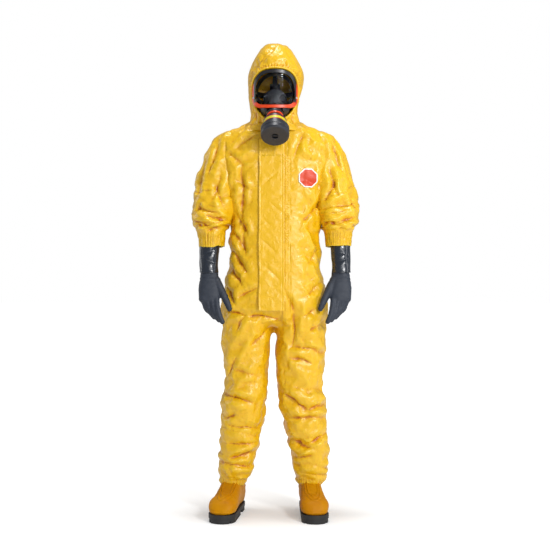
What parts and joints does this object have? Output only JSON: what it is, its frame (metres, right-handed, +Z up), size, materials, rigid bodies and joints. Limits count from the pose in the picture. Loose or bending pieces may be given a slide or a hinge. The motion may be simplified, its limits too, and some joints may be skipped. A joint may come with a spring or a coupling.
{
  "type": "chemical protective suit",
  "caption": "Standing hooded chemical coverall with full-face respirator and screw-in filter, gauntlet gloves and safety boots; limbs, head, zip, storm flap, filter and valves move.",
  "frame": {"origin": "on the floor under the middle of the suit's bounding box, between the boots", "axes": "+Z up, the front faces -Y, +X towards the wearer's left"},
  "size_m": [0.6194, 0.364, 1.813],
  "materials": {
    "coverall_fabric": "coated crinkled yellow nonwoven",
    "elastic_fabric": "gathered elastic edge",
    "seam_tape": "welded inner seam tape",
    "zip_plastic": "moulded zip",
    "badge_red": "red patch with a white rim",
    "facepiece_rubber": "satin black rubber",
    "lens_clear": "clear polycarbonate",
    "visor_frame_orange": "orange-red moulded frame",
    "filter_black": "black moulded plastic",
    "filter_band": "yellow-green colour band",
    "filter_media": "white pleated filter paper",
    "carbon": "activated carbon granules",
    "hardware_steel": "plated screws and buckles",
    "valve_rubber": "thin grey silicone discs",
    "gauntlet_rubber": "shiny black rubber",
    "glove_grip": "matt dark slate rubber",
    "boot_yellow": "ochre-yellow moulded polyurethane",
    "sole_black": "black lugged sole"
  },
  "bodies": {
    "torso": {"front_panel_left": "coverall_fabric", "front_panel_right": "coverall_fabric", "back_panel": "coverall_fabric", "crotch_gusset": "coverall_fabric", "zip_tape": "seam_tape", "zip_chain": "zip_plastic", "chin_flap": "coverall_fabric", "chest_badge": "badge_red"},
    "neck_ring": {"collar_tape": "seam_tape"},
    "head": {"hood": "coverall_fabric", "hood_face_elastic": "elastic_fabric", "face_seal": "facepiece_rubber", "visor_lens": "lens_clear", "visor_frame": "visor_frame_orange", "inner_mask": "facepiece_rubber", "port_housing": "facepiece_rubber", "port_ring": "visor_frame_orange", "head_harness": "facepiece_rubber", "mask_hardware": "hardware_steel"},
    "gasket": {"filter_gasket": "valve_rubber"},
    "filter": {"filter_body": "filter_black", "filter_cap": "filter_black", "filter_band": "filter_band", "filter_carbon_bed": "carbon", "filter_pleats": "filter_media"},
    "inhale_valve": {"inhale_valve_disc": "valve_rubber"},
    "cup_valves": {"inner_valve_discs": "valve_rubber"},
    "slider": {"zip_slider": "zip_plastic"},
    "pull": {"zip_pull": "zip_plastic"},
    "flap": {"storm_flap": "coverall_fabric"},
    "left_shoulder_ring": {"left_armhole_tape": "seam_tape"},
    "left_upper_arm": {"left_upper_sleeve": "coverall_fabric"},
    "left_forearm": {"left_forearm_sleeve": "coverall_fabric", "left_cuff_elastic": "elastic_fabric", "left_gauntlet": "gauntlet_rubber"},
    "left_palm": {"left_glove_palm": "glove_grip"},
    "left_fingers": {"left_glove_fingers": "glove_grip"},
    "left_thumb": {"left_glove_thumb": "glove_grip"},
    "left_hip_ring": {"left_leg_seam_tape": "seam_tape"},
    "left_thigh": {"left_trouser_thigh": "coverall_fabric"},
    "left_shin": {"left_trouser_shin": "coverall_fabric", "left_hem_elastic": "elastic_fabric", "left_boot_shaft": "boot_yellow"},
    "left_foot": {"left_boot_foot": "boot_yellow", "left_boot_sole": "sole_black"},
    "right_shoulder_ring": {"right_armhole_tape": "seam_tape"},
    "right_upper_arm": {"right_upper_sleeve": "coverall_fabric"},
    "right_forearm": {"right_forearm_sleeve": "coverall_fabric", "right_cuff_elastic": "elastic_fabric", "right_gauntlet": "gauntlet_rubber"},
    "right_palm": {"right_glove_palm": "glove_grip"},
    "right_fingers": {"right_glove_fingers": "glove_grip"},
    "right_thumb": {"right_glove_thumb": "glove_grip"},
    "right_hip_ring": {"right_leg_seam_tape": "seam_tape"},
    "right_thigh": {"right_trouser_thigh": "coverall_fabric"},
    "right_shin": {"right_trouser_shin": "coverall_fabric", "right_hem_elastic": "elastic_fabric", "right_boot_shaft": "boot_yellow"},
    "right_foot": {"right_boot_foot": "boot_yellow", "right_boot_sole": "sole_black"}
  },
  "joints": [
    {"name": "neck_turn", "type": "hinge", "parent": "torso", "child": "neck_ring", "pos_m": [0, 0.0635, 1.535], "axis": [0, 0, 1], "range_deg": [-35, 35]},
    {"name": "neck_nod", "type": "hinge", "parent": "neck_ring", "child": "head", "pos_m": [0, 0.0635, 1.535], "axis": [-1, 0, 0], "range_deg": [-6, 20]},
    {"name": "filter_draw", "type": "slide", "parent": "head", "child": "gasket", "axis": [0, -0.6018, -0.7986], "range_m": [0, 0.0127]},
    {"name": "filter_turn", "type": "hinge", "parent": "gasket", "child": "filter", "pos_m": [0, -0.0825, 1.511], "axis": [0, -0.6018, -0.7986], "range_deg": [0, 1260]},
    {"name": "inhale_valve_lift", "type": "slide", "parent": "head", "child": "inhale_valve", "axis": [0, 0.6018, 0.7986], "range_m": [0, 0.0015]},
    {"name": "cup_valve_lift", "type": "slide", "parent": "head", "child": "cup_valves", "axis": [0, 1, 0], "range_m": [0, 0.0008]},
    {"name": "zip_slide", "type": "slide", "parent": "torso", "child": "slider", "axis": [0, -0.0558, -0.9984], "range_m": [0, 0.56]},
    {"name": "pull_swing", "type": "hinge", "parent": "slider", "child": "pull", "pos_m": [0, -0.0518, 1.40295], "axis": [-1, 0, 0], "range_deg": [0, 120], "deforming": ["zip_pull"]},
    {"name": "flap_open", "type": "hinge", "parent": "torso", "child": "flap", "pos_m": [0.034, -0.07216, 1.08008], "axis": [0, 0.0558, 0.9984], "range_deg": [0, 150]},
    {"name": "left_shoulder_swing", "type": "hinge", "parent": "torso", "child": "left_shoulder_ring", "pos_m": [0.186, 0.0575, 1.398], "axis": [-0.9976, 0.0698, 0], "range_deg": [-30, 130]},
    {"name": "left_shoulder_raise", "type": "hinge", "parent": "left_shoulder_ring", "child": "left_upper_arm", "pos_m": [0.186, 0.0575, 1.398], "axis": [0, -1, 0], "range_deg": [0, 80]},
    {"name": "left_elbow_bend", "type": "hinge", "parent": "left_upper_arm", "child": "left_forearm", "pos_m": [0.23684, 0.0575, 1.14812], "axis": [-1, 0, 0], "range_deg": [-18, 100]},
    {"name": "left_wrist_bend", "type": "hinge", "parent": "left_forearm", "child": "left_palm", "pos_m": [0.24903, -0.01821, 0.91543], "axis": [1, 0, 0], "range_deg": [-45, 45]},
    {"name": "left_finger_curl", "type": "hinge", "parent": "left_palm", "child": "left_fingers", "pos_m": [0.24903, -0.04818, 0.82318], "axis": [1, 0, 0], "range_deg": [-10, 75]},
    {"name": "left_thumb_curl", "type": "hinge", "parent": "left_palm", "child": "left_thumb", "pos_m": [0.20203, -0.03781, 0.881], "axis": [1, 0, 0], "range_deg": [0, 40], "deforming": ["left_glove_thumb"]},
    {"name": "left_leg_spread", "type": "hinge", "parent": "torso", "child": "left_hip_ring", "pos_m": [0.098, 0.0535, 0.93015], "axis": [0, -1, 0], "range_deg": [0, 25]},
    {"name": "left_hip_bend", "type": "hinge", "parent": "left_hip_ring", "child": "left_thigh", "pos_m": [0.098, 0.0535, 0.93015], "axis": [-1, 0, 0], "range_deg": [-15, 65], "deforming": ["storm_flap", "zip_tape", "zip_chain"]},
    {"name": "left_knee_bend", "type": "hinge", "parent": "left_thigh", "child": "left_shin", "pos_m": [0.11751, 0.0535, 0.50059], "axis": [1, 0, 0], "range_deg": [0, 110]},
    {"name": "left_ankle_bend", "type": "hinge", "parent": "left_shin", "child": "left_foot", "pos_m": [0.13542, 0.0535, 0.106], "axis": [-0.9962, -0.0872, 0], "range_deg": [-15, 15]},
    {"name": "right_shoulder_swing", "type": "hinge", "parent": "torso", "child": "right_shoulder_ring", "pos_m": [-0.186, 0.0575, 1.398], "axis": [-0.9976, -0.0698, 0], "range_deg": [-30, 130]},
    {"name": "right_shoulder_raise", "type": "hinge", "parent": "right_shoulder_ring", "child": "right_upper_arm", "pos_m": [-0.186, 0.0575, 1.398], "axis": [0, 1, 0], "range_deg": [0, 80]},
    {"name": "right_elbow_bend", "type": "hinge", "parent": "right_upper_arm", "child": "right_forearm", "pos_m": [-0.23684, 0.0575, 1.14812], "axis": [-1, 0, 0], "range_deg": [-18, 100]},
    {"name": "right_wrist_bend", "type": "hinge", "parent": "right_forearm", "child": "right_palm", "pos_m": [-0.24903, -0.01821, 0.91543], "axis": [1, 0, 0], "range_deg": [-45, 45]},
    {"name": "right_finger_curl", "type": "hinge", "parent": "right_palm", "child": "right_fingers", "pos_m": [-0.24903, -0.04818, 0.82318], "axis": [1, 0, 0], "range_deg": [-10, 75]},
    {"name": "right_thumb_curl", "type": "hinge", "parent": "right_palm", "child": "right_thumb", "pos_m": [-0.20203, -0.03781, 0.881], "axis": [1, 0, 0], "range_deg": [0, 40], "deforming": ["right_glove_thumb"]},
    {"name": "right_leg_spread", "type": "hinge", "parent": "torso", "child": "right_hip_ring", "pos_m": [-0.098, 0.0535, 0.92834], "axis": [0, 1, 0], "range_deg": [0, 25]},
    {"name": "right_hip_bend", "type": "hinge", "parent": "right_hip_ring", "child": "right_thigh", "pos_m": [-0.098, 0.0535, 0.92834], "axis": [-1, 0, 0], "range_deg": [-15, 65]},
    {"name": "right_knee_bend", "type": "hinge", "parent": "right_thigh", "child": "right_shin", "pos_m": [-0.13249, 0.0535, 0.49973], "axis": [1, 0, 0], "range_deg": [0, 110]},
    {"name": "right_ankle_bend", "type": "hinge", "parent": "right_shin", "child": "right_foot", "pos_m": [-0.16416, 0.0535, 0.106], "axis": [-0.9781, 0.2079, 0], "range_deg": [-15, 15]}
  ],
  "couplings": [
    {"joint": "filter_turn", "follows": "filter_draw", "rad_per_m": 1731.4}
  ]
}
